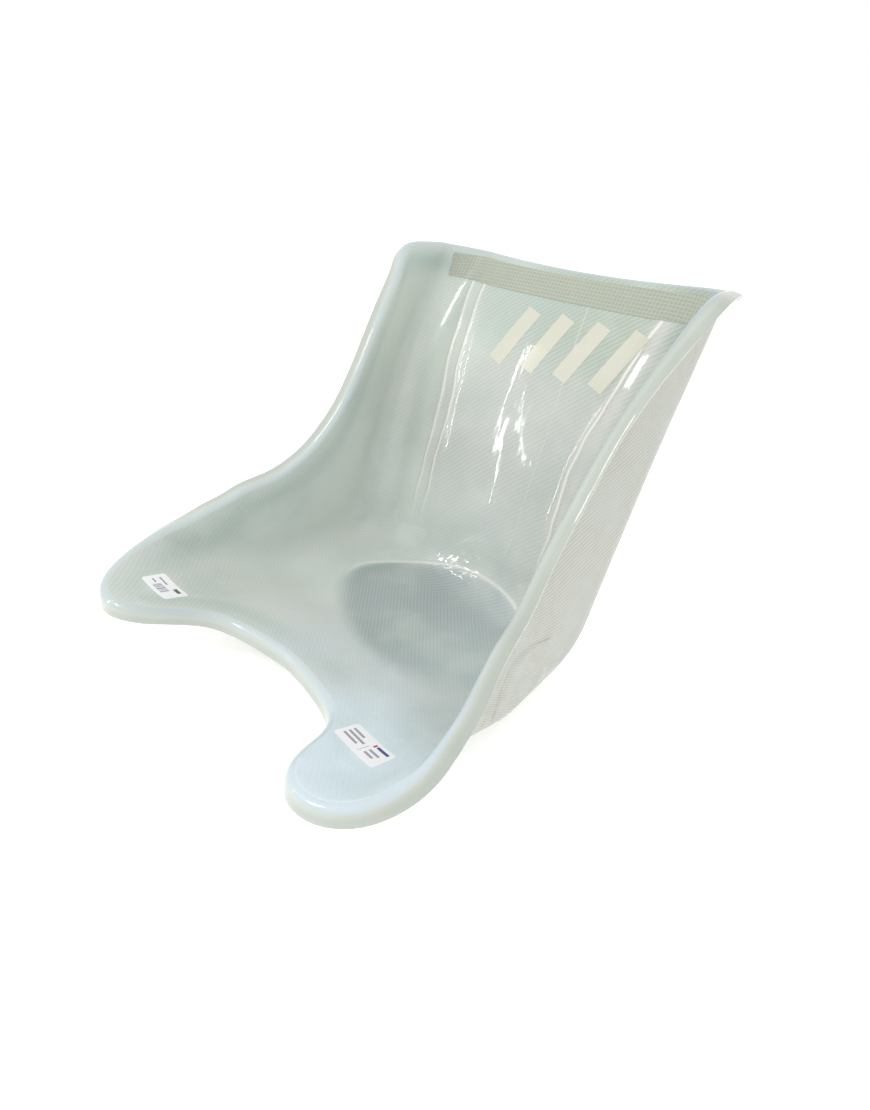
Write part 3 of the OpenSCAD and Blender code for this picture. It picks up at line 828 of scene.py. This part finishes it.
# core plies, side by side round the pan; they end at these rays on the right, and on the
# left in mirror image
plies = {
    "thighEnd": 7.4, "hipEnd": 11, "wingEnd": 18, "columnsPerRay": 6, "rows": 40, "panRows": 26,
    "panColour": (0.62, 0.70, 0.67), "thighColour": (0.74, 0.83, 0.85),
    "hipColour": (0.78, 0.82, 0.76), "wingColour": (0.72, 0.78, 0.74), "centreColour": (0.78, 0.80, 0.76)
}
coreTop, coreBottom = shape["innerSkin"], shape["innerSkin"] + shape["core"]


def corePly(name, node, first, last, material):
    columns = np.linspace(first, last, int((last - first) * plies["columnsPerRay"]) + 1)
    rows = np.linspace(0, 1, plies["rows"])
    piece = patchPiece(name, layout(columns[:, None], rows[None, :]), coreTop, coreBottom)
    finishPiece(piece, node, material)


thighMat = coreMaterial("soaked mat of the thighs", plies["thighColour"])
hipMat = coreMaterial("soaked mat of the hips", plies["hipColour"])
wingMat = coreMaterial("soaked mat of the wings", plies["wingColour"])
centreMat = coreMaterial("soaked mat of the back", plies["centreColour"])
panMat = coreMaterial("soaked mat of the pan", plies["panColour"])
corePly("ThighPlyRight", "thigh_ply_right", 0, plies["thighEnd"], thighMat)
corePly("HipPlyRight", "hip_ply_right", plies["thighEnd"], plies["hipEnd"], hipMat)
corePly("BackWingPlyRight", "back_wing_ply_right", plies["hipEnd"], plies["wingEnd"], wingMat)
corePly("BackCentrePly", "back_centre_ply", plies["wingEnd"], full - plies["wingEnd"], centreMat)
corePly("BackWingPlyLeft", "back_wing_ply_left", full - plies["wingEnd"], full - plies["hipEnd"], wingMat)
corePly("HipPlyLeft", "hip_ply_left", full - plies["hipEnd"], full - plies["thighEnd"], hipMat)
corePly("ThighPlyLeft", "thigh_ply_left", full - plies["thighEnd"], full, thighMat)
panSheet = [layout(rays[::3], t) for t in np.linspace(detail["panStart"], 0, plies["panRows"])]
panRowsUp = [atDepth(p, np.full(len(p), coreTop)) for p in panSheet]
panRowsDown = [atDepth(p, np.full(len(p), coreBottom)) for p in panSheet[::-1]]
panPly = ringPiece("SeatPanPly", panRowsUp + panRowsDown, panSheet + panSheet[::-1])
finishPiece(panPly, "seat_pan_ply", panMat)
print("core plies made")

# patches outside the hips: rays they run between, place and half height on the ray, how
# blunt their tips are, and the thinned rim that feathers over a few columns
hipPatch = {
    "ends": (7.3, 9.7), "middle": 0.58, "half": 0.2, "tipSteps": 10, "blunt": 0.6,
    "thickness": 1.4, "rim": 0.15, "feather": 4, "columns": 72, "rows": 36
}


def fromEnd(count):
    # steps from each point of a row to the row's nearer end
    i = np.arange(count)
    return np.minimum(i, count - 1 - i)


def hipPatchPiece(name, side):
    # lens: its half height follows a half sine between its two ends
    u = np.linspace(0, 1, hipPatch["columns"])
    s = hipPatch["ends"][0] + (hipPatch["ends"][1] - hipPatch["ends"][0]) * u
    reach = (u * hipPatch["tipSteps"] + hipPatch["blunt"]) / (hipPatch["tipSteps"] + 2 * hipPatch["blunt"])
    tall = hipPatch["half"] * np.sin(np.pi * reach)
    rows = hipPatch["middle"] + tall[:, None] * np.linspace(-1, 1, hipPatch["rows"])[None, :]
    grid = layout((s if side > 0 else full - s)[:, None], rows)
    m, r = grid.shape[:2]
    edge = np.minimum(fromEnd(m)[:, None], fromEnd(r)[None, :])
    swell = smooth(edge.ravel() / hipPatch["feather"])
    deep = wallT + hipPatch["rim"] + (hipPatch["thickness"] - hipPatch["rim"]) * swell
    return patchPiece(name, grid, np.full(m * r, wallT), deep, sharp=60)


finishPiece(hipPatchPiece("HipPatchRight", 1), "hip_patch_right", outside)
finishPiece(hipPatchPiece("HipPatchLeft", -1), "hip_patch_left", outside)

# tape along the top, between two shares of each ray
topTape = {"start": 16.8, "low": 0.91, "high": 0.99, "thickness": 0.5, "columns": 150, "rows": 14}
s = np.linspace(topTape["start"], full - topTape["start"], topTape["columns"])
grid = layout(s[:, None], np.linspace(topTape["low"], topTape["high"], topTape["rows"])[None, :])
finishPiece(patchPiece("TopEdgeTape", grid, -topTape["thickness"], 0.0), "top_edge_tape", tape)

# emblem: a row of slanted bars
emblem = {
    "bars": 4, "width": 20, "length": 70, "pitch": 44, "slant": -20, "middle": (24, 366),
    "thickness": 0.3, "columns": 12, "rows": 32
}


def placed(u, v, middle, turn):
    # u and v turned by an angle and moved to a middle, on the sheet
    c, s = math.cos(math.radians(turn)), math.sin(math.radians(turn))
    return np.stack([middle[0] + u * c - v * s, middle[1] + u * s + v * c], -1)


def joined(name, pieces):
    # several closed solids that make one piece
    bpy.ops.object.select_all(action="DESELECT")
    for piece in pieces:
        piece.select_set(True)
    bpy.context.view_layer.objects.active = pieces[0]
    bpy.ops.object.join()
    pieces[0].name = name
    return pieces[0]


bars = []
u, v = np.meshgrid(
    (np.linspace(0, 1, emblem["columns"]) - 0.5) * emblem["width"],
    (np.linspace(0, 1, emblem["rows"]) - 0.5) * emblem["length"], indexing="ij")
for i in range(emblem["bars"]):
    a = emblem["middle"][0] + (i - (emblem["bars"] - 1) / 2) * emblem["pitch"]
    grid = placed(u, v, (a, emblem["middle"][1]), emblem["slant"])
    bars.append(patchPiece("EmblemBar%d" % i, grid, -emblem["thickness"], 0.0))
finishPiece(joined("EmblemFilm", bars), "emblem_film", film)

label = {
    "length": 27, "corner": 3, "thickness": 0.3, "columns": 41, "rows": 25,
    "right": {"middle": (132, -218), "width": 50, "turn": -5},
    "left": {"middle": (-148, -236), "width": 40, "turn": 5}
}


def labelMaterial(name, printing):
    # printing: bars on the label, each [left, right, low, high, colour] in shares of its size
    n = Nodes(name)
    spot = n.tree.nodes.new("ShaderNodeUVMap")
    spot.uv_map = "print"
    split = n.make("SeparateXYZ", Vector=spot.outputs[0])
    u, v = split.outputs[0], split.outputs[1]
    fibre = n.noise(900, 2)
    base = n.mix(fibre, (0.90, 0.90, 0.91), (0.82, 0.82, 0.83))
    for left, right, low, high, colour in printing:
        across = n.calc("COMPARE", u, (left + right) / 2, (right - left) / 2)
        up = n.calc("COMPARE", v, (low + high) / 2, (high - low) / 2)
        base = n.mix(n.calc("MULTIPLY", across, up), base, colour)
    return n.finish(Base_Color=base, Roughness=0.42, Coat_Weight=0.2, Coat_Roughness=0.2)


def labelPiece(name, middle, width, turn):
    # corners pulled in: each point moves inward where it would lie outside a rounded corner
    u, v = np.meshgrid(np.linspace(-1, 1, label["columns"]), np.linspace(-1, 1, label["rows"]), indexing="ij")
    px, py = u * width / 2, v * label["length"] / 2
    cx = np.clip(px, -width / 2 + label["corner"], width / 2 - label["corner"])
    cy = np.clip(py, -label["length"] / 2 + label["corner"], label["length"] / 2 - label["corner"])
    dist = np.hypot(px - cx, py - cy)
    pull = np.where(dist > label["corner"], label["corner"] / np.maximum(dist, 1e-6), 1)
    px, py = cx + (px - cx) * pull, cy + (py - cy) * pull
    piece = patchPiece(name, placed(px, py, middle, turn), -label["thickness"], 0.0)
    printed = piece.data.uv_layers.new(name="print")
    place = np.stack([px / width + 0.5, py / label["length"] + 0.5], -1).reshape(-1, 2)
    loops = np.zeros(len(piece.data.loops), np.int32)
    piece.data.loops.foreach_get("vertex_index", loops)
    printed.data.foreach_set("uv", np.vstack([place, place])[loops].ravel().astype(np.float32))
    return piece


ink = (0.10, 0.10, 0.13)
grey = (0.33, 0.33, 0.37)
linesRight = [
    (0.08, 0.34, 0.66, 0.76, grey), (0.08, 0.46, 0.46, 0.56, grey), (0.08, 0.40, 0.26, 0.36, grey),
    (0.56, 0.60, 0.70, 0.86, (0.45, 0.03, 0.06)), (0.62, 0.90, 0.74, 0.86, (0.05, 0.05, 0.22)),
    (0.60, 0.84, 0.46, 0.56, grey), (0.60, 0.80, 0.26, 0.36, grey), (0.52, 0.53, 0.16, 0.62, grey)
]
barWidths = (0.012, 0.022, 0.010, 0.018, 0.010, 0.025, 0.012, 0.016, 0.010, 0.022, 0.012)
barcode = [(0.30 + 0.035 * i, 0.30 + 0.035 * i + w, 0.16, 0.52, ink) for i, w in enumerate(barWidths)]
linesLeft = barcode + [
    (0.10, 0.40, 0.64, 0.72, grey), (0.10, 0.24, 0.34, 0.42, grey), (0.62, 0.84, 0.68, 0.84, ink)
]
printRight = labelMaterial("printed label, right", linesRight)
printLeft = labelMaterial("printed label, left", linesLeft)
finishPiece(labelPiece("LabelRight", **label["right"]), "label_right", printRight)
finishPiece(labelPiece("LabelLeft", **label["left"]), "label_left", printLeft)
print("patches, tape, emblem and labels made")

studio = {
    "floor": (0.98, 0.98, 0.98), "floorGlow": 0.3, "floorRadius": 400, "floorDrop": 0.0005,
    "floorSides": 96, "world": 1.0,
    "key": {"spot": (-0.5, -1.5, 2.1), "aim": (0, 0, 0.15), "size": (0.5, 0.5), "power": 10},
    "strip": {
        "spot": (-0.755, -0.935, 0.713), "aim": (0, 0.145, 0.21),
        "size": (0.010, 1.2), "power": 1.8, "turn": 18
    },
    "thread": {
        "spot": (-0.685, -0.985, 0.66), "aim": (0, 0.145, 0.21),
        "size": (0.005, 0.6), "power": 0.35, "turn": 21
    },
    "fill": {"spot": (1.5, -0.6, 1.5), "aim": (0, 0, 0.15), "size": (2.4, 2.4), "power": 4}
}


def addFloor():
    # a wide disc whose rim is far outside every view
    r, sides = studio["floorRadius"], studio["floorSides"]
    turns = np.linspace(0, 2 * np.pi, sides + 1)[:-1]
    points = np.stack([r * np.cos(turns), r * np.sin(turns), np.full(sides, -studio["floorDrop"])], -1)
    mesh = bpy.data.meshes.new("Floor")
    mesh.from_pydata(points.tolist(), [], [list(range(sides))])
    floor = bpy.data.objects.new("Floor", mesh)
    bpy.context.scene.collection.objects.link(floor)
    n = Nodes("plain floor")
    base = n.mix(n.noise(3, 2), studio["floor"], tuple(np.array(studio["floor"]) * 0.99))
    mesh.materials.append(n.finish(
        Base_Color=base, Roughness=0.9, Emission_Color=(1, 1, 1, 1), Emission_Strength=studio["floorGlow"]))


def addLight(name, spot, aim, size, power, turn=0):
    # a rectangular lamp that shines from its spot at its aim, turned about that line
    lamp = bpy.data.lights.new(name, "AREA")
    lamp.shape = "RECTANGLE"
    lamp.size, lamp.size_y = size
    lamp.energy = power
    holder = bpy.data.objects.new(name, lamp)
    away = (Vector(spot) - Vector(aim)).normalized()
    facing = away.to_track_quat("Z", "Y").to_matrix().to_4x4() @ Matrix.Rotation(math.radians(turn), 4, "Z")
    holder.matrix_world = Matrix.Translation(spot) @ facing
    holder.visible_camera = False
    bpy.context.scene.collection.objects.link(holder)


addFloor()
for name in ("key", "strip", "thread", "fill"):
    addLight(name, **studio[name])
world = bpy.data.worlds.new("studio")
world.use_nodes = True
world.node_tree.nodes["Background"].inputs[0].default_value = (1, 1, 1, 1)
world.node_tree.nodes["Background"].inputs[1].default_value = studio["world"]
bpy.context.scene.world = world
bpy.context.scene.view_settings.view_transform = "Standard"

# camera: its place, how far round and how high it stands, in degrees, its roll and its lens
lookout = {
    "position": (0.3513, -0.4021, 0.4428), "azimuth": 39.79, "elevation": 33.929, "roll": 4.118, "lens": 18.82
}
az, el, roll = (math.radians(lookout[k]) for k in ("azimuth", "elevation", "roll"))
back = Vector((math.sin(az) * math.cos(el), -math.cos(az) * math.cos(el), math.sin(el)))
level = Vector((math.cos(az), math.sin(az), 0))
upright = back.cross(level)
right = level * math.cos(roll) + upright * math.sin(roll)
up = upright * math.cos(roll) - level * math.sin(roll)
camera = bpy.data.cameras.new("camera")
camera.sensor_width = 36
camera.lens = lookout["lens"]
camera.clip_start = 0.01
cameraObject = bpy.data.objects.new("camera", camera)
turned = Matrix((right, up, back)).transposed().to_4x4()
cameraObject.matrix_world = Matrix.Translation(lookout["position"]) @ turned
bpy.context.scene.collection.objects.link(cameraObject)
bpy.context.scene.camera = cameraObject
print("studio ready")
